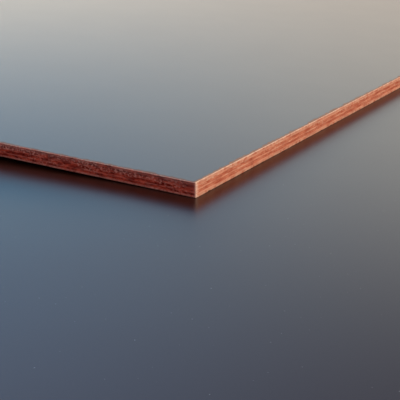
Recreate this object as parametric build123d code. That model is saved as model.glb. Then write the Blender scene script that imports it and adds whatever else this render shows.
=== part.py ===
"""Two film-faced plywood sheets stacked flat, the upper one slid back from the lower one's corner."""

import os

from build123d import *

# Driving dimensions, in millimetres
SHEET_LENGTH = 2500.0
SHEET_WIDTH = 1250.0
SHEET_THICKNESS = 9.0
# The upright corner edges are rounded, and sanding breaks the arrises round both faces
CORNER_RADIUS = 1.0
ARRIS = 0.4
# How far the upper sheet is slid back along the lower one's length and across its width
LENGTHWISE_SETBACK = 250.0
CROSSWISE_SETBACK = 250.0


def plywood_sheet():
    """One pressed sheet with its sharp edges taken off, centred on its own underside."""
    blank = Box(
        SHEET_LENGTH,
        SHEET_WIDTH,
        SHEET_THICKNESS,
        align=(Align.CENTER, Align.CENTER, Align.MIN),
    )
    rounded = fillet(blank.edges().filter_by(Axis.Z), CORNER_RADIUS)
    face_edges = rounded.faces().filter_by(Axis.Z).edges()
    return chamfer(face_edges, ARRIS)


def stack():
    """The sheets by node name, placed so that the stack stands centred on the origin."""
    lower_place = Pos(LENGTHWISE_SETBACK / 2, -CROSSWISE_SETBACK / 2, 0)
    upper_place = Pos(-LENGTHWISE_SETBACK / 2, CROSSWISE_SETBACK / 2, SHEET_THICKNESS)
    return {
        "lower_sheet": lower_place * plywood_sheet(),
        "upper_sheet": upper_place * plywood_sheet(),
    }


def main():
    os.makedirs("parts", exist_ok=True)
    for node, solid in stack().items():
        export_step(solid, f"parts/{node}.step")
        print(node, "volume", round(solid.volume), "mm3")


main()
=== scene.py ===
"""Looks of two film-faced plywood sheets in a stack: their meshes, film, painted edges and studio."""

import math

import bpy
import numpy as np
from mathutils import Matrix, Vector


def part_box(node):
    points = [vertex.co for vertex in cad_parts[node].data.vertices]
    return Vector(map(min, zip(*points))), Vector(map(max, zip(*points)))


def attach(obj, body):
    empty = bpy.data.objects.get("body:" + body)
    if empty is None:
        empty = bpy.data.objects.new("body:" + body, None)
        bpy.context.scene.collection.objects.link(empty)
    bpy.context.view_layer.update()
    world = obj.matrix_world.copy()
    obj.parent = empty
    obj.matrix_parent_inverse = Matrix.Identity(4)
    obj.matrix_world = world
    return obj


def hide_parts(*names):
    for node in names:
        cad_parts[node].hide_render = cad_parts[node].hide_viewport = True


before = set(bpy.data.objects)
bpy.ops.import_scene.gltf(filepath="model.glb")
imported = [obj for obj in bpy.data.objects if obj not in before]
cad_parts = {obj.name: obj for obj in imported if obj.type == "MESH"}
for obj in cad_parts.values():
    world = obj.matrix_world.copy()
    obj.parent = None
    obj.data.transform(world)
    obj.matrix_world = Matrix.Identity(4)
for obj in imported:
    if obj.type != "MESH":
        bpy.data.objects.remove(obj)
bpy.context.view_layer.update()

# Sheets, in metres. Length, width and thickness come from the parts in model.glb.
SHEETS = ("lower_sheet", "upper_sheet")
PLIES = 7
SIDES = 4
ARRIS = 0.0004
FOOT_ARRIS = 0.0009
CORNER_RADIUS = 0.001
CORNER_STEPS = 6

# Columns along the edges: fine near the corner that the camera sees, coarser elsewhere
FINE_PITCH = 0.0007
FINE_REACH = 0.35
COARSE_PITCH = 0.004
FACE_INSET = 0.02
FACE_PITCH = 0.03

# The lower film sinks beside the upper sheet's long edge, so a narrow gap opens away from the corner
SAG_DEPTH = 0.0028
SAG_RUN = (0.01, 0.18)
SAG_FAR_RUN = 1.0
SAG_REACH = 0.20
SAG_LINES = (-0.06, -0.03, -0.012, -0.004, 0.0, 0.004, 0.012, 0.03, 0.06)

# Relief of the sawn edges
ROUND_SHARE = 1 - math.sqrt(0.5)
ROUND_SHARES = ((0.0, 1.0), (ROUND_SHARE, ROUND_SHARE), (1.0, 0.0))
PLY_ROW_SHARES = (0.0, 0.3, 0.7)
PLY_ROW_MARGINS = (0.0006, 0.0011)
GLUE_RECESS = 0.00006
END_GRAIN_RECESS = 0.00005
PLY_WANDER = 0.00005
PLY_WANDER_SPACING = 0.018
TEAR_SPACING = 0.009
TEAR_LENGTHS = (0.0006, 0.004)
TEAR_DEPTHS = (0.00005, 0.00025)
CHIP_SPACING = 0.02
CHIP_LENGTHS = (0.0006, 0.0025)
CHIP_DEPTHS = (0.0001, 0.0005)
CHIP_TOP_CHANCE = 0.6
CHIP_ROW_SHARES = (1.0, 0.8, 0.25)
CHIP_DROP_SHARE = 0.6
# Pale arrises and corner columns: partly worn paint, partly a painted highlight on the rounded arrises
# and corner
CORNER_WEAR_AND_HIGHLIGHT_REACH = 0.003
CORNER_WEAR_AND_HIGHLIGHT_SPREAD = (0.4, 1.4)
LONG_EDGE_WEAR_AND_HIGHLIGHT_SHARE = 0.2
FOOT_RIM_SHARE = 0.3

# Bake map: the edge folded into strips above the two faces, whose rims are widened
STRIP_RUN = 0.25
STRIP_MARGIN_SHARE = 0.02
EDGE_MAP_SHARE = 0.55
TOP_MAP_SHARE = 0.33
MAP_GAP_SHARE = 0.002
RIM_MAP_SHARES = (0.02, 0.05)
QUAD_CORNERS = 4


def stations(length, fine_at_start, fine_at_end):
    """Places along a straight side, from 0 up to its length, packed closer at a fine end."""
    coarse_start = FINE_REACH if fine_at_start else 0.0
    coarse_end = length - FINE_REACH if fine_at_end else length
    places = []
    for start, end, pitch in (
        (0.0, coarse_start, FINE_PITCH),
        (coarse_start, coarse_end, COARSE_PITCH),
        (coarse_end, length, FINE_PITCH),
    ):
        if end > start:
            count = math.ceil((end - start) / pitch)
            places.append(np.linspace(start, end, count, endpoint=False))
    return np.concatenate(places + [[length]])


class Outline:
    """The sheet's rounded outline, counterclockwise from the photographed corner, column by column."""

    def __init__(self, low, high):
        self.place = []
        self.normal = []
        self.side = []
        corners = [(high.x, low.y), (high.x, high.y), (low.x, high.y), (low.x, low.y)]
        normals = [(1, 0), (0, 1), (-1, 0), (0, -1)]
        for side in range(SIDES):
            self.add_corner(corners[side], normals[side - 1], normals[side], side)
            self.add_side(corners[side], corners[(side + 1) % SIDES], normals[side], side)
        self.place = np.array(self.place)
        self.normal = np.array(self.normal)
        self.side = np.array(self.side)
        steps = np.linalg.norm(np.diff(self.place, axis=0, append=self.place[:1]), axis=1)
        self.run = np.concatenate([[0.0], np.cumsum(steps)[:-1]])
        self.total = steps.sum()
        self.end_edge = self.normal[:, 0] ** 2
        along = self.side % 1.0
        lengths = np.where(self.end_edge > 0.5, high.y - low.y, high.x - low.x)
        self.from_corner = np.minimum(along, 1 - along) * lengths

    def add_corner(self, corner, before, after, side):
        """The inner columns of the arc that turns from one side's normal to the next."""
        before, after = np.array(before), np.array(after)
        middle = np.array(corner) - CORNER_RADIUS * (before + after)
        for step in range(1, CORNER_STEPS):
            angle = math.pi / 2 * step / CORNER_STEPS
            normal = math.cos(angle) * before + math.sin(angle) * after
            self.place.append(middle + CORNER_RADIUS * normal)
            self.normal.append(normal)
            self.side.append(float(side))

    def add_side(self, start, end, normal, side):
        """The columns of a straight side, fine towards the photographed corner."""
        start, end = np.array(start), np.array(end)
        length = np.linalg.norm(end - start)
        way = (end - start) / length
        straight = length - 2 * CORNER_RADIUS
        for at in stations(straight, side == 0, side == SIDES - 1):
            self.place.append(start + way * (CORNER_RADIUS + at))
            self.normal.append(np.array(normal, float))
            self.side.append(side + at / straight)


def wander(rng, outline, spacing):
    """A wandering value from -1 to 1 along the outline, one for each column."""
    knots = np.arange(0.0, outline.total, spacing)
    values = rng.uniform(-1, 1, len(knots))
    return np.interp(outline.run, knots, values, period=outline.total)


def dents(rng, outline, spacing, lengths, depths):
    """Yields each dent's columns and its depth there, at random places round the outline."""
    for _ in range(int(outline.total / spacing)):
        middle = rng.uniform(0.0, outline.total)
        half = rng.uniform(*lengths) / 2
        depth = rng.uniform(*depths)
        off = np.abs(outline.run - middle) / half
        columns = np.nonzero(off < 1)[0]
        yield columns, depth * (1 - off[columns] ** 2)


class Edge:
    """The edge's rows from the top face's rim down to the bottom face's rim, with their relief."""

    def __init__(self, outline, thickness, rng):
        self.outline = outline
        self.lay_rows(thickness)
        self.lay_plies(rng)
        self.tear(rng)
        self.chip(rng)
        self.wear_and_highlight(rng)

    def lay_rows(self, thickness):
        """The plain rows: the two rounded arrises, and a few in each ply between them."""
        ply = thickness / PLIES
        head, foot = PLY_ROW_MARGINS
        inner = [(i + share) * ply for i in range(PLIES) for share in PLY_ROW_SHARES]
        inner = [depth for depth in inner if head < depth < thickness - foot]
        plain = np.ones(len(self.outline.run))
        foot_size = ARRIS + (FOOT_ARRIS - ARRIS) * (1 - self.outline.end_edge)
        drop = [ARRIS * share * plain for share, _ in ROUND_SHARES]
        drop += [depth * plain for depth in inner]
        drop += [thickness - foot_size * share for share, _ in reversed(ROUND_SHARES)]
        inset = [ARRIS * share * plain for _, share in ROUND_SHARES]
        inset += [0.0 * plain for _ in inner]
        inset += [foot_size * share for _, share in reversed(ROUND_SHARES)]
        self.drop = np.array(drop)
        self.out = -np.array(inset)
        self.depth = self.drop.mean(axis=1)
        self.depth_share = self.drop / thickness
        self.torn = np.zeros_like(self.drop)
        self.lap = np.zeros_like(self.drop)
        self.lap[[0, -1]] = 1.0
        rim_rows = len(ROUND_SHARES) - 1
        self.is_rim = np.zeros(len(self.depth), bool)
        self.is_rim[:rim_rows] = True
        self.is_rim[-rim_rows:] = True
        self.swell = np.sin(np.pi * (self.depth / ply % 1.0))
        self.ply = np.minimum((self.depth / ply).astype(int), PLIES - 1)

    def lay_plies(self, rng):
        """Glue lines sit back, end grain sits a little lower, and each ply wanders."""
        for ply in range(PLIES):
            end_grain = np.abs(ply % 2 - self.outline.end_edge)
            level = PLY_WANDER * wander(rng, self.outline, PLY_WANDER_SPACING)
            level -= END_GRAIN_RECESS * end_grain
            for row in np.nonzero(self.ply == ply)[0]:
                if not self.is_rim[row]:
                    glue = GLUE_RECESS * (1 - self.swell[row])
                    self.out[row] += level * self.swell[row] - glue

    def tear(self, rng):
        """Fibres that the saw pulled out, as shallow dents within one ply."""
        for columns, depth in dents(rng, self.outline, TEAR_SPACING, TEAR_LENGTHS, TEAR_DEPTHS):
            ply = rng.integers(PLIES)
            for row in np.nonzero(self.ply == ply)[0]:
                if not self.is_rim[row]:
                    self.out[row, columns] -= depth * self.swell[row]
                    self.torn[row, columns] += depth * self.swell[row] / TEAR_DEPTHS[1]

    def chip(self, rng):
        """Chips out of the arrises, which take a bite from the film's rim."""
        for columns, depth in dents(rng, self.outline, CHIP_SPACING, CHIP_LENGTHS, CHIP_DEPTHS):
            top = rng.random() < CHIP_TOP_CHANCE
            for step, share in enumerate(CHIP_ROW_SHARES):
                row = step if top else -1 - step
                self.out[row, columns] -= depth * share
                if step:
                    fall = depth if top else -depth
                    self.drop[row, columns] += fall * share * CHIP_DROP_SHARE
                self.torn[row, columns] += depth / CHIP_DEPTHS[1]

    def wear_and_highlight(self, rng):
        """Pale arrises and corners, partly paint worn off and partly a painted highlight, wide at the
        corners by a different width in each row.
        """
        reach = CORNER_WEAR_AND_HIGHLIGHT_REACH * rng.uniform(*CORNER_WEAR_AND_HIGHLIGHT_SPREAD, len(self.depth))
        near = np.clip(1 - self.outline.from_corner / reach[:, None], 0, 1) ** 2
        end_edge_share = (1 - LONG_EDGE_WEAR_AND_HIGHLIGHT_SHARE) * self.outline.end_edge
        worn_and_lit = near * (LONG_EDGE_WEAR_AND_HIGHLIGHT_SHARE + end_edge_share)
        rim_share = np.where(self.depth < self.depth.mean(), 1.0, FOOT_RIM_SHARE) * self.is_rim
        self.arris = np.maximum(rim_share[:, None], worn_and_lit)

    def points(self, top):
        """Every row's points, row by row."""
        out = np.minimum(self.out, 0.0)
        place = self.outline.place[None] + out[:, :, None] * self.outline.normal[None]
        height = top - self.drop
        return np.concatenate([place, height[:, :, None]], axis=2).reshape(-1, 3)

    def quads(self):
        """The faces between neighbouring rows, all round."""
        index = np.arange(self.out.size).reshape(self.out.shape)
        after = np.roll(index, -1, axis=1)
        loops = (index[:-1], index[1:], after[1:], after[:-1])
        return np.stack(loops, axis=-1).reshape(-1, QUAD_CORNERS)


class FilmGrid:
    """A plain grid inside a face's rim, with its border in the outline's order."""

    def __init__(self, low, high, trough):
        self.across = self.lines(low.x, high.x)
        self.up = self.lines(low.y, high.y)
        if self.up[0] < trough < self.up[-1]:
            self.up = np.union1d(self.up, trough + np.array(SAG_LINES))
        self.size = len(self.across) * len(self.up)
        index = np.arange(self.size).reshape(len(self.up), len(self.across))
        loops = (index[:-1, :-1], index[:-1, 1:], index[1:, 1:], index[1:, :-1])
        self.quads = np.stack(loops, axis=-1).reshape(-1, QUAD_CORNERS)
        borders = (index[:-1, -1], index[-1, :0:-1], index[:0:-1, 0], index[0, :-1])
        self.border = np.concatenate(borders)
        right = (self.across - self.across[0]) / (self.across[-1] - self.across[0])
        back = (self.up - self.up[0]) / (self.up[-1] - self.up[0])
        self.side = np.concatenate([back[:-1], 2 - right[:0:-1], 3 - back[:0:-1], 3 + right[:-1]])

    @staticmethod
    def lines(low, high):
        count = math.ceil((high - low) / FACE_PITCH) + 1
        return np.linspace(low + FACE_INSET, high - FACE_INSET, count)

    def points(self, height):
        x, y = np.meshgrid(self.across, self.up)
        return np.stack([x.ravel(), y.ravel(), np.full(x.size, height)], axis=1)


def zipper(outer, outer_side, inner, inner_side):
    """Triangles between two closed loops that run side by side, both counterclockwise."""
    outer_next = np.append(outer_side[1:], SIDES)
    inner_next = np.append(inner_side[1:], SIDES)
    faces = []
    i = j = 0
    while i < len(outer) or j < len(inner):
        here, there = outer[i % len(outer)], inner[j % len(inner)]
        if j == len(inner) or (i < len(outer) and outer_next[i] <= inner_next[j]):
            i += 1
            faces.append((here, outer[i % len(outer)], there))
        else:
            j += 1
            faces.append((here, inner[j % len(inner)], there))
    return faces


def film_faces(outline, rim, grid, start):
    """A face's grid and the triangles from its border out to the rim, counterclockwise from above."""
    faces = [tuple(quad) for quad in grid.quads + start]
    return faces + zipper(rim, outline.side, grid.border + start, grid.side)


def ease(share):
    return share**2 * (3 - 2 * share)


def film_sag(points, low):
    """How far the lower sheet's film sinks at each point, most beside the upper sheet's long edge."""
    upper_low, upper_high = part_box(SHEETS[1])
    start, end = SAG_RUN
    from_end = np.clip((upper_high.x - points[:, 0] - start) / (end - start), 0, 1)
    from_far = np.clip((points[:, 0] - low.x) / SAG_FAR_RUN, 0, 1)
    aside = np.clip(1 - np.abs(points[:, 1] - upper_low.y) / SAG_REACH, 0, 1)
    return SAG_DEPTH * ease(from_end) * ease(from_far) * ease(aside)


def sheet_mesh(node, seed):
    """One closed mesh for a sheet: sawn edge, two faces, and the values that its materials read."""
    low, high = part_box(node)
    outline = Outline(low, high)
    edge = Edge(outline, high.z - low.z, np.random.default_rng(seed))
    grid = FilmGrid(low, high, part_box(SHEETS[1])[0].y)
    top_points = grid.points(high.z)
    if node == SHEETS[0]:
        top_points[:, 2] -= film_sag(top_points, low)
    points = np.concatenate([edge.points(high.z), top_points, grid.points(low.z)])
    rows, columns = edge.out.shape
    top_rim = np.arange(columns)
    bottom_rim = top_rim + (rows - 1) * columns
    sides = [tuple(quad) for quad in edge.quads()]
    top = film_faces(outline, top_rim, grid, edge.out.size)
    bottom = film_faces(outline, bottom_rim, grid, edge.out.size + grid.size)
    bottom = [loop[::-1] for loop in bottom]
    faces = sides + top + bottom
    mesh = bpy.data.meshes.new(node)
    mesh.from_pydata(points.tolist(), [], [tuple(map(int, loop)) for loop in faces])
    is_side = np.arange(len(faces)) < len(sides)
    is_quad = np.array([len(loop) == QUAD_CORNERS for loop in faces])
    mesh.polygons.foreach_set("material_index", is_side.astype(np.int32))
    mesh.polygons.foreach_set("use_smooth", is_quad)
    lay_values(mesh, edge)
    lay_bake_map(mesh, edge, len(sides), len(top), low, high)
    mesh.update()
    return mesh


def lay_values(mesh, edge):
    """The edge's values for the materials, each zero on the points inside the faces."""
    shown = {
        "end_edge": np.broadcast_to(edge.outline.end_edge, edge.out.shape),
        "depth": edge.depth_share,
        "arris": edge.arris,
        "torn": edge.torn,
        "lap": edge.lap,
    }
    plain = np.zeros(len(mesh.vertices) - edge.out.size)
    for name, values in shown.items():
        layer = mesh.attributes.new(name, "FLOAT", "POINT")
        values = np.concatenate([values.ravel(), plain])
        layer.data.foreach_set("value", values.astype(np.float32))


def lay_bake_map(mesh, edge, side_count, top_count, low, high):
    """A map for baking: edge strips stacked in its upper part, then the top face and the bottom one."""
    side_map = edge_map(edge, side_count)
    first_corner = side_count * QUAD_CORNERS
    first_bottom = mesh.polygons[side_count + top_count].loop_start
    face_map = films_map(mesh, first_corner, first_bottom, low, high)
    layer = mesh.uv_layers.new(name="OFBake")
    places = np.concatenate([side_map, face_map])
    layer.uv.foreach_set("vector", places.astype(np.float32).ravel())


def edge_map(edge, side_count):
    """The edge's quads, in strips of equal run one under another."""
    outline = edge.outline
    rows, columns = edge.out.shape
    strips = math.ceil(outline.total / STRIP_RUN)
    strip_height = EDGE_MAP_SHARE / strips
    usable = 1 - 2 * STRIP_MARGIN_SHARE
    cell = np.arange(side_count)
    row, column = cell // columns, cell % columns
    strip = (outline.run[column] // STRIP_RUN).astype(int)
    run_after = np.append(outline.run[1:], outline.total)
    left = STRIP_MARGIN_SHARE + usable * (outline.run[column] / STRIP_RUN - strip)
    right = STRIP_MARGIN_SHARE + usable * (run_after[column] / STRIP_RUN - strip)
    row_place = np.linspace(0, 1, rows)
    upper = 1 - (strip + row_place[row]) * strip_height
    lower = 1 - (strip + row_place[row + 1]) * strip_height
    squeeze = MAP_GAP_SHARE / strip_height / 2
    middle = 1 - (strip + 0.5) * strip_height
    upper = middle + (upper - middle) * (1 - squeeze)
    lower = middle + (lower - middle) * (1 - squeeze)
    across = np.stack([left, left, right, right], axis=1)
    up = np.stack([upper, lower, lower, upper], axis=1)
    return np.stack([across, up], axis=2).reshape(-1, 2)


def films_map(mesh, first_corner, first_bottom, low, high):
    """The two faces seen from above, the top one over the bottom one."""
    corner = np.empty(len(mesh.loops), np.int32)
    mesh.loops.foreach_get("vertex_index", corner)
    place = np.empty(len(mesh.vertices) * 3, np.float32)
    mesh.vertices.foreach_get("co", place)
    place = place.reshape(-1, 3)[corner[first_corner:]]
    across = widen_rim(place[:, 0], low.x, high.x, RIM_MAP_SHARES[0])
    up = widen_rim(place[:, 1], low.y, high.y, RIM_MAP_SHARES[1])
    bottom_share = 1 - EDGE_MAP_SHARE - TOP_MAP_SHARE - 2 * MAP_GAP_SHARE
    is_top = np.arange(first_corner, len(mesh.loops)) < first_bottom
    top_map = bottom_share + MAP_GAP_SHARE + up * TOP_MAP_SHARE
    return np.stack([across, np.where(is_top, top_map, up * bottom_share)], axis=1)


def widen_rim(place, low, high, share):
    """Shares of a face's length from 0 to 1, with so much of it for the rim at each end."""
    lines = (low, low + FACE_INSET, high - FACE_INSET, high)
    return np.interp(place, lines, (0, share, 1 - share, 1))


# Sockets of the colour mixing node
MIX_INPUTS = (0, 6, 7)
MIX_OUTPUT = 2


def new_material(name):
    material = bpy.data.materials.new(name)
    material.use_nodes = True
    tree = material.node_tree
    return material, tree, tree.nodes["Principled BSDF"]


def add(tree, kind, settings=(), sockets=()):
    """Adds a node, with its settings, and its sockets set to values or linked to outputs."""
    node = tree.nodes.new(kind)
    for name, value in dict(settings).items():
        setattr(node, name, value)
    for key, value in dict(sockets).items():
        plug(tree, node.inputs[key], value)
    return node


def plug(tree, socket, value):
    if isinstance(value, bpy.types.NodeSocket):
        tree.links.new(value, socket)
    else:
        socket.default_value = value


def calc(tree, operation, *values, clamp=False):
    node = add(tree, "ShaderNodeMath", {"operation": operation, "use_clamp": clamp})
    for socket, value in zip(node.inputs, values):
        plug(tree, socket, value)
    return node.outputs[0]


def times(tree, one, two):
    return calc(tree, "MULTIPLY", one, two)


def blend(tree, amount, one, two, way="MIX"):
    """Mixes two colours, by so much of the second."""
    node = add(tree, "ShaderNodeMix", {"data_type": "RGBA", "blend_type": way})
    for index, value in zip(MIX_INPUTS, (amount, one, two)):
        plug(tree, node.inputs[index], value)
    return node.outputs[MIX_OUTPUT]


def darken(tree, amount, colour, share):
    """Multiplies a colour by a share of each channel, by so much."""
    return blend(tree, amount, colour, share, "MULTIPLY")


def ramp(tree, value, start, end, low=0.0, high=1.0):
    """Goes smoothly from low to high as the value goes from start to end."""
    sockets = {"Value": value, "From Min": start, "From Max": end, "To Min": low, "To Max": high}
    settings = {"interpolation_type": "SMOOTHSTEP"}
    return add(tree, "ShaderNodeMapRange", settings, sockets).outputs[0]


def noise(tree, place, scale, detail, roughness):
    """Noise at so many cells a metre along each axis of place."""
    stretch = {"operation": "MULTIPLY"}
    stretched = add(tree, "ShaderNodeVectorMath", stretch, {0: place, 1: scale}).outputs[0]
    sockets = {"Vector": stretched, "Scale": 1.0, "Detail": detail, "Roughness": roughness}
    return add(tree, "ShaderNodeTexNoise", {}, sockets).outputs[0]


def attribute(tree, name):
    return add(tree, "ShaderNodeAttribute", {"attribute_name": name}).outputs["Fac"]


def object_place(tree):
    return add(tree, "ShaderNodeTexCoord").outputs["Object"]


def emboss(tree, shader, height, strength, distance):
    """Gives a shader fine relief without moving its surface."""
    sockets = {"Strength": strength, "Distance": distance, "Height": height}
    plug(tree, shader.inputs["Normal"], add(tree, "ShaderNodeBump", {}, sockets).outputs[0])


# Film. A noise is its cells a metre along each axis, then its detail and its roughness.
FILM_BROWN = (0.019, 0.0048, 0.0026, 1)
FILM_IOR = 1.5
FILM_ROUGHNESS = (0.277, 0.283)
MOTTLE_NOISE = ((22, 30, 900), 3.0, 0.5)
MOTTLE_SPAN = (0.3, 0.7)
PEEL_NOISE = ((1300, 1500, 900), 3.0, 0.6)
PEEL_STRENGTH = 0.04
PEEL_HEIGHT = 0.0003
DUST_GREY = (0.21, 0.205, 0.20, 1)
DUST_CELLS = 110.0
DUST_PICK = (0.30, 1.0)
DUST_SIZE = 0.034
DUST_FADE_POWER = 2.0
LAP_NOISE = ((160, 160, 1), 3.0, 0.6)
LAP_SPAN = (0.3, 0.7)
LAP_WIDTHS = (0.0006, 0.0024)
LAP_SOFTNESS = 0.01
LAP_PAINT = ((0.14, 0.075, 0.055, 1), (0.27, 0.14, 0.085, 1))
MATT_GAIN = 0.4


def film_dust(tree, place):
    """Round specks of many sizes, some fainter than others."""
    settings = {"voronoi_dimensions": "2D", "feature": "F1"}
    sockets = {"Vector": place, "Scale": DUST_CELLS, "Randomness": 1.0}
    cell = add(tree, "ShaderNodeTexVoronoi", settings, sockets)
    picks = add(tree, "ShaderNodeSeparateColor", {}, {0: cell.outputs["Color"]}).outputs
    size = ramp(tree, picks[0], *DUST_PICK, 0.0, DUST_SIZE)
    speck = calc(tree, "LESS_THAN", cell.outputs["Distance"], size)
    return times(tree, speck, calc(tree, "POWER", picks[1], DUST_FADE_POWER))


def paint_lap(tree, place):
    """The strip of the film's rim that the edge paint laps over, with a ragged border."""
    ragged = noise(tree, place, *LAP_NOISE)
    reach = ramp(tree, ragged, *LAP_SPAN, *(1 - width / FACE_INSET for width in LAP_WIDTHS))
    inside = calc(tree, "SUBTRACT", attribute(tree, "lap"), reach)
    return ramp(tree, inside, -LAP_SOFTNESS, LAP_SOFTNESS)


def film_material():
    """Smooth dark phenolic film: satin, with a fine even grain, dust, and edge paint lapping on."""
    material, tree, shader = new_material("phenolic_film")
    place = object_place(tree)
    dust = film_dust(tree, place)
    lap = paint_lap(tree, place)
    colour = blend(tree, dust, FILM_BROWN, DUST_GREY)
    paint = blend(tree, attribute(tree, "end_edge"), *LAP_PAINT)
    plug(tree, shader.inputs["Base Color"], blend(tree, lap, colour, paint))
    satin = ramp(tree, noise(tree, place, *MOTTLE_NOISE), *MOTTLE_SPAN, *FILM_ROUGHNESS)
    matt = times(tree, calc(tree, "ADD", dust, lap), MATT_GAIN)
    plug(tree, shader.inputs["Roughness"], calc(tree, "ADD", satin, matt))
    emboss(tree, shader, noise(tree, place, *PEEL_NOISE), PEEL_STRENGTH, PEEL_HEIGHT)
    shader.inputs["IOR"].default_value = FILM_IOR
    shader.distribution = "GGX"
    return material


# Painted edge. A pair of colours or amounts is for the long edges, then the end edges. The two paint
# pairs are one paint split in two: a deeper, redder shaded copy on the long edges, which is painted
# shade, and a paler, yellower lit copy on the end edges, which is a painted sheen of the warm lamp.
DEEP_PAINT_SHADED_AND_LIT = ((0.22, 0.017, 0.012, 1), (0.368, 0.100, 0.057, 1))
BRIGHT_PAINT_SHADED_AND_LIT = ((0.55, 0.074, 0.047, 1), (0.503, 0.184, 0.111, 1))
DRY_FIBRE = ((0.62, 0.21, 0.175, 1), (0.51, 0.28, 0.195, 1))
# Pale colour of the arrises and corners: worn paint and a painted highlight
WORN_AND_LIT_RIM = ((0.40, 0.355, 0.36, 1), (0.58, 0.39, 0.315, 1))
RUN_STRETCH = (1.0, 0.6)
PIT_AMOUNTS = (0.9, 0.35)
HAIR_AMOUNTS = (1.0, 0.55)
HEAD_AMOUNTS = (0.4, 1.0)
DUSTY_AMOUNTS = (1.0, 0.0)
# Shares of the colour that stay where it is darkened
SOAKED_SHARE = (0.85, 0.76, 0.74, 1)
GLUE_SHARE = (0.62, 0.50, 0.48, 1)
PIT_SHARE = (0.42, 0.33, 0.31, 1)
# Noises along the edge's run and its height
BLOTCH_NOISE = ((150, 420, 1), 2.0, 0.6)
STREAK_NOISE = ((110, 2000, 3), 3.0, 0.6)
SAW_NOISE = ((420, 90, 5), 3.0, 0.6)
PATCH_NOISE = ((55, 220, 1), 2.0, 0.5)
FLECK_NOISE = ((600, 760, 9), 3.0, 0.6)
PIT_NOISE = ((380, 900, 7), 3.0, 0.6)
# Ramps: where each starts and ends, and its values there if they aren't 0 and 1
BLOTCH_RAMP = (0.38, 0.62)
GLUE_RAMP = (0.02, 0.15, 1.0, 0.0)
GLUE_BREAK_RAMP = (0.35, 0.6)
PIT_RAMP = (0.52, 0.64)
STREAK_RAMP = (0.40, 0.70, 0.0, 0.45)
HAIR_RAMP = (0.50, 0.60)
HAIR_PATCH_RAMP = (0.40, 0.60)
HAIR_DEPTH_RAMP = (0.05, 0.75, 1.0, 0.45)
HEAD_RAMP = (0.0, 0.32, 0.7, 0.0)
FOOT_RAMP = (0.79, 0.89, 0.0, 0.7)
FADE_BREAK_RAMP = (0.3, 0.6)
SEAM_START_RAMP = (0.045, 0.06)
SEAM_END_RAMP = (0.08, 0.12, 1.0, 0.0)
SEAM_PATCH_RAMP = (0.45, 0.65, 1.0, 0.3)
DUSTY_RAMP = (0.10, 0.45, 0.20, 0.0)
RIM_FLECK_RAMP = (0.42, 0.58, 0.45, 1.0)
RIM_PATCH_RAMP = (0.42, 0.56, 0.55, 1.0)
EDGE_ROUGHNESS_RAMP = (0.3, 0.7, 0.6, 0.8)
# Other amounts
WHOLE_GLUE_SHARE = 0.7
TORN_DRYNESS = 0.4
STREAK_HEIGHT = 0.6
SAW_HEIGHT = 0.5
FLECK_HEIGHT = 0.6
EDGE_RELIEF_STRENGTH = 0.6
EDGE_RELIEF_HEIGHT = 0.0002
EDGE_SPECULAR = 0.03


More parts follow.
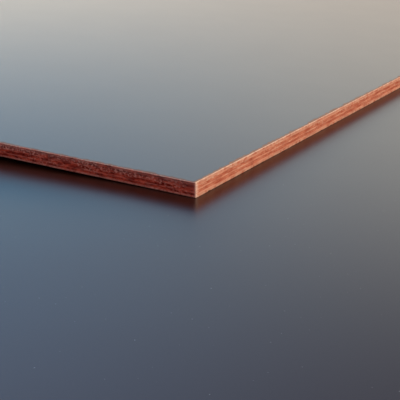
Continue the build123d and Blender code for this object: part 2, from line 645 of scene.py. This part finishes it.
class EdgePaint:
    """The painted edge's colour and relief, built up in one node tree."""

    def __init__(self, tree):
        self.tree = tree
        self.end_edge = attribute(tree, "end_edge")
        self.depth = attribute(tree, "depth")
        x, y, z = add(tree, "ShaderNodeSeparateXYZ", {}, {0: object_place(tree)}).outputs
        run = times(tree, calc(tree, "ADD", x, y), self.amount(RUN_STRETCH))
        place = add(tree, "ShaderNodeCombineXYZ", {}, {0: run, 1: z}).outputs[0]
        self.blotch = noise(tree, place, *BLOTCH_NOISE)
        self.streak = noise(tree, place, *STREAK_NOISE)
        self.saw = noise(tree, place, *SAW_NOISE)
        self.patch = noise(tree, place, *PATCH_NOISE)
        self.flecks = noise(tree, place, *FLECK_NOISE)
        self.pits = noise(tree, place, *PIT_NOISE)
        self.find_plies()

    def find_plies(self):
        """How far a place is end grain, and its distance from the next glue line in plies."""
        tree = self.tree
        level = times(tree, self.depth, float(PLIES))
        parity = calc(tree, "MODULO", calc(tree, "FLOOR", level), 2.0)
        self.end_grain = calc(tree, "ABSOLUTE", calc(tree, "SUBTRACT", parity, self.end_edge))
        part = calc(tree, "FRACT", level)
        self.to_glue = calc(tree, "MINIMUM", part, calc(tree, "SUBTRACT", 1.0, part))

    def amount(self, pair):
        """The pair's first amount on long edges, its second on end edges."""
        return ramp(self.tree, self.end_edge, 0.0, 1.0, *pair)

    def tone(self, pair):
        """The pair's first colour on long edges, its second on end edges."""
        return blend(self.tree, self.end_edge, *pair)

    def paint(self):
        """Blotchy paint, darker in end grain, along glue lines and in pits."""
        tree = self.tree
        bright = ramp(tree, self.blotch, *BLOTCH_RAMP)
        # Shaded copy of the paint on the long edges, lit copy with painted sheen on the end edges
        colour = blend(tree, bright, self.tone(DEEP_PAINT_SHADED_AND_LIT), self.tone(BRIGHT_PAINT_SHADED_AND_LIT))
        colour = darken(tree, self.end_grain, colour, SOAKED_SHARE)
        broken = ramp(tree, self.saw, *GLUE_BREAK_RAMP)
        whole = calc(tree, "MAXIMUM", broken, times(tree, self.end_edge, WHOLE_GLUE_SHARE))
        glue = times(tree, ramp(tree, self.to_glue, *GLUE_RAMP), whole)
        colour = darken(tree, glue, colour, GLUE_SHARE)
        sunk = times(tree, ramp(tree, self.pits, *PIT_RAMP), self.amount(PIT_AMOUNTS))
        return darken(tree, sunk, colour, PIT_SHARE)

    def dry(self, colour):
        """Dry fibres: streaks in side grain, hairs, torn places, and faded paint at head and foot."""
        tree = self.tree
        side_grain = calc(tree, "SUBTRACT", 1.0, self.end_grain)
        streaks = times(tree, side_grain, ramp(tree, self.streak, *STREAK_RAMP))
        hairs = ramp(tree, self.flecks, *HAIR_RAMP)
        hairs = times(tree, hairs, ramp(tree, self.patch, *HAIR_PATCH_RAMP))
        hairs = times(tree, hairs, self.amount(HAIR_AMOUNTS))
        hairs = times(tree, hairs, ramp(tree, self.depth, *HAIR_DEPTH_RAMP))
        torn = times(tree, attribute(tree, "torn"), TORN_DRYNESS)
        head = times(tree, ramp(tree, self.depth, *HEAD_RAMP), self.amount(HEAD_AMOUNTS))
        foot = ramp(tree, self.depth, *FOOT_RAMP)
        faded = calc(tree, "ADD", head, foot)
        faded = times(tree, faded, ramp(tree, self.saw, *FADE_BREAK_RAMP))
        dryness = calc(tree, "ADD", streaks, hairs)
        dryness = calc(tree, "ADD", dryness, torn)
        dryness = calc(tree, "ADD", dryness, faded, clamp=True)
        return blend(tree, dryness, colour, self.tone(DRY_FIBRE))

    def seam(self, colour):
        """A dark line under the film on the long edges."""
        tree = self.tree
        line = ramp(tree, self.depth, *SEAM_START_RAMP)
        line = times(tree, line, ramp(tree, self.depth, *SEAM_END_RAMP))
        line = times(tree, line, ramp(tree, self.patch, *SEAM_PATCH_RAMP))
        line = times(tree, line, calc(tree, "SUBTRACT", 1.0, self.end_edge))
        return darken(tree, line, colour, PIT_SHARE)

    def rim(self, colour):
        """Pale arrises and corners, partly worn paint and partly a painted highlight, and a dusty upper
        part on the long edges.
        """
        tree = self.tree
        dusty = times(tree, ramp(tree, self.depth, *DUSTY_RAMP), self.amount(DUSTY_AMOUNTS))
        worn_and_lit = calc(tree, "MAXIMUM", attribute(tree, "arris"), dusty)
        worn_and_lit = times(tree, worn_and_lit, ramp(tree, self.flecks, *RIM_FLECK_RAMP))
        broken = ramp(tree, self.patch, *RIM_PATCH_RAMP)
        worn_and_lit = times(tree, worn_and_lit, calc(tree, "MAXIMUM", broken, self.end_edge))
        return blend(tree, worn_and_lit, colour, self.tone(WORN_AND_LIT_RIM))

    def height(self):
        """Saw marks, fibre streaks and flecks, added up."""
        tree = self.tree
        streaks = times(tree, self.streak, STREAK_HEIGHT)
        marks = times(tree, self.saw, SAW_HEIGHT)
        flecks = times(tree, self.flecks, FLECK_HEIGHT)
        return calc(tree, "ADD", calc(tree, "ADD", streaks, marks), flecks)


def edge_material():
    """Thin red-brown paint on sawn plies: soaked into end grain, dry on fibres that stand up."""
    material, tree, shader = new_material("painted_ply_edge")
    edge = EdgePaint(tree)
    colour = edge.paint()
    colour = edge.dry(colour)
    colour = edge.seam(colour)
    colour = edge.rim(colour)
    plug(tree, shader.inputs["Base Color"], colour)
    plug(tree, shader.inputs["Roughness"], ramp(tree, edge.streak, *EDGE_ROUGHNESS_RAMP))
    emboss(tree, shader, edge.height(), EDGE_RELIEF_STRENGTH, EDGE_RELIEF_HEIGHT)
    shader.inputs["Specular IOR Level"].default_value = EDGE_SPECULAR
    shader.distribution = "GGX"
    return material


def make_sheets():
    materials = (film_material(), edge_material())
    for seed, node in enumerate(SHEETS):
        mesh = sheet_mesh(node, seed)
        for material in materials:
            mesh.materials.append(material)
        piece = bpy.data.objects.new(node + "_finished", mesh)
        bpy.context.scene.collection.objects.link(piece)
        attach(piece, "root")
        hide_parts(node)


# Floor, in metres
FLOOR_RADIUS = 60.0
FLOOR_DROP = 0.0002
FLOOR_SIDES = 96
FLOOR_PALE = (0.80, 0.80, 0.79, 1)
FLOOR_ROUGHNESS = 0.9


def make_floor():
    """A plain pale disc that the stack lies on."""
    points = []
    for step in range(FLOOR_SIDES):
        angle = 2 * math.pi * step / FLOOR_SIDES
        points.append((FLOOR_RADIUS * math.cos(angle), FLOOR_RADIUS * math.sin(angle), -FLOOR_DROP))
    mesh = bpy.data.meshes.new("floor")
    mesh.from_pydata(points, [], [tuple(range(FLOOR_SIDES))])
    floor = bpy.data.objects.new("floor", mesh)
    bpy.context.scene.collection.objects.link(floor)
    material, _, shader = new_material("pale_floor")
    shader.inputs["Base Color"].default_value = FLOOR_PALE
    shader.inputs["Roughness"].default_value = FLOOR_ROUGHNESS
    shader.inputs["Specular IOR Level"].default_value = 0.0
    mesh.materials.append(material)


# Lamp, with its angles in degrees
KEY_COLOUR = (1.0, 0.88, 0.74)
KEY_STRENGTH = 3.9
KEY_ELEVATION = 28.0
KEY_TURN = 20.0
KEY_SPREAD = 50.0


def make_key():
    """A broad warm lamp from the stack's +X end, a little round towards its far side."""
    lamp = bpy.data.lights.new("key", "SUN")
    lamp.color = KEY_COLOUR
    lamp.energy = KEY_STRENGTH
    lamp.angle = math.radians(KEY_SPREAD)
    key = bpy.data.objects.new("key", lamp)
    key.visible_glossy = False
    bpy.context.scene.collection.objects.link(key)
    turn, rise = math.radians(KEY_TURN), math.radians(KEY_ELEVATION)
    flat = math.cos(rise)
    to_lamp = Vector((math.cos(turn) * flat, math.sin(turn) * flat, math.sin(rise)))
    key.rotation_euler = to_lamp.to_track_quat("Z", "Y").to_euler()


# Even light and backdrop
FILL_LIGHT = (0.50, 0.50, 0.50, 1)
BACKGROUND = (0.90, 0.90, 0.89, 1)
# The sky that gloss reflects, from low to high: cooler on the left of the photographed side,
# warmer on its right, and plain all round the rest. Its steps are in degrees.
HIGH_SKY = (0.32, 0.30, 0.29, 1)
COOL_SKY = ((5.4, 4.0, 2.5, 1), (0.16, 0.74, 1.2, 1), (0.74, 1.2, 1.88, 1), HIGH_SKY)
WARM_SKY = ((1.75, 1.07, 0.70, 1), (1.55, 1.6, 1.45, 1), (0.24, 0.42, 0.66, 1), HIGH_SKY)
PLAIN_SKY = ((2.0, 1.75, 1.5, 1), (0.92, 0.92, 0.90, 1), (0.50, 0.52, 0.55, 1), HIGH_SKY)
SKY_STEPS = ((2.0, 13.0), (16.0, 28.0), (45.0, 70.0))
SKY_TURN = 32.0
SKY_WIDTH = 0.30
SKY_FRONT = (0.45, 0.75)


def towards(tree, way, axis):
    """How far a direction points along an axis, from -1 to 1."""
    sockets = {0: way, 1: axis}
    node = add(tree, "ShaderNodeVectorMath", {"operation": "DOT_PRODUCT"}, sockets)
    return node.outputs["Value"]


def sky_side(tree, rises, tones):
    """One side's tones, each rising into the next."""
    side = tones[0]
    for rise, tone in zip(rises, tones[1:]):
        side = blend(tree, rise, side, tone)
    return side


def gloss_sky(tree):
    """The sky's cool and warm sides in front, and its plain one round the rest."""
    way = add(tree, "ShaderNodeTexCoord").outputs["Generated"]
    height = add(tree, "ShaderNodeSeparateXYZ", {}, {0: way}).outputs[2]
    rises = []
    for step in SKY_STEPS:
        start, end = (math.sin(math.radians(angle)) for angle in step)
        rises.append(ramp(tree, height, start, end))
    cool = sky_side(tree, rises, COOL_SKY)
    warm = sky_side(tree, rises, WARM_SKY)
    plain = sky_side(tree, rises, PLAIN_SKY)
    turn = math.radians(SKY_TURN)
    aside = towards(tree, way, (math.cos(turn), math.sin(turn), 0.0))
    ahead = towards(tree, way, (-math.sin(turn), math.cos(turn), 0.0))
    front = blend(tree, ramp(tree, aside, -SKY_WIDTH, SKY_WIDTH), cool, warm)
    return blend(tree, ramp(tree, ahead, *SKY_FRONT), plain, front)


def make_world():
    """Even light for matt surfaces, a plain pale backdrop, and a soft sky for gloss."""
    world = bpy.data.worlds.new("studio")
    bpy.context.scene.world = world
    world.use_nodes = True
    tree = world.node_tree
    tree.nodes.clear()
    seen = add(tree, "ShaderNodeLightPath").outputs
    backdrop = calc(tree, "MAXIMUM", seen["Is Camera Ray"], seen["Is Transmission Ray"])
    colour = blend(tree, backdrop, FILL_LIGHT, BACKGROUND)
    colour = blend(tree, seen["Is Glossy Ray"], colour, gloss_sky(tree))
    light = add(tree, "ShaderNodeBackground", {}, {"Color": colour, "Strength": 1.0})
    add(tree, "ShaderNodeOutputWorld", {}, {"Surface": light.outputs[0]})


# Camera, from the photographed corner of the upper sheet's underside, in metres and degrees
CAMERA_OFFSET = Vector((0.2619, -0.4135, 0.1776))
CAMERA_PITCH = 20.02
CAMERA_TURN = 32.06
CAMERA_LENS = 87.8
CAMERA_SENSOR = 36.0
CAMERA_CLIP = (0.01, 4 * FLOOR_RADIUS)


def make_camera():
    low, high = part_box("upper_sheet")
    corner = Vector((high.x, low.y, low.z))
    data = bpy.data.cameras.new("camera")
    data.lens = CAMERA_LENS
    data.sensor_width = CAMERA_SENSOR
    data.clip_start, data.clip_end = CAMERA_CLIP
    camera = bpy.data.objects.new("camera", data)
    bpy.context.scene.collection.objects.link(camera)
    camera.location = corner + CAMERA_OFFSET
    camera.rotation_euler = (math.radians(90 - CAMERA_PITCH), 0.0, math.radians(CAMERA_TURN))
    bpy.context.scene.camera = camera


bpy.context.scene.view_settings.view_transform = "Standard"
make_sheets()
make_floor()
make_key()
make_world()
make_camera()
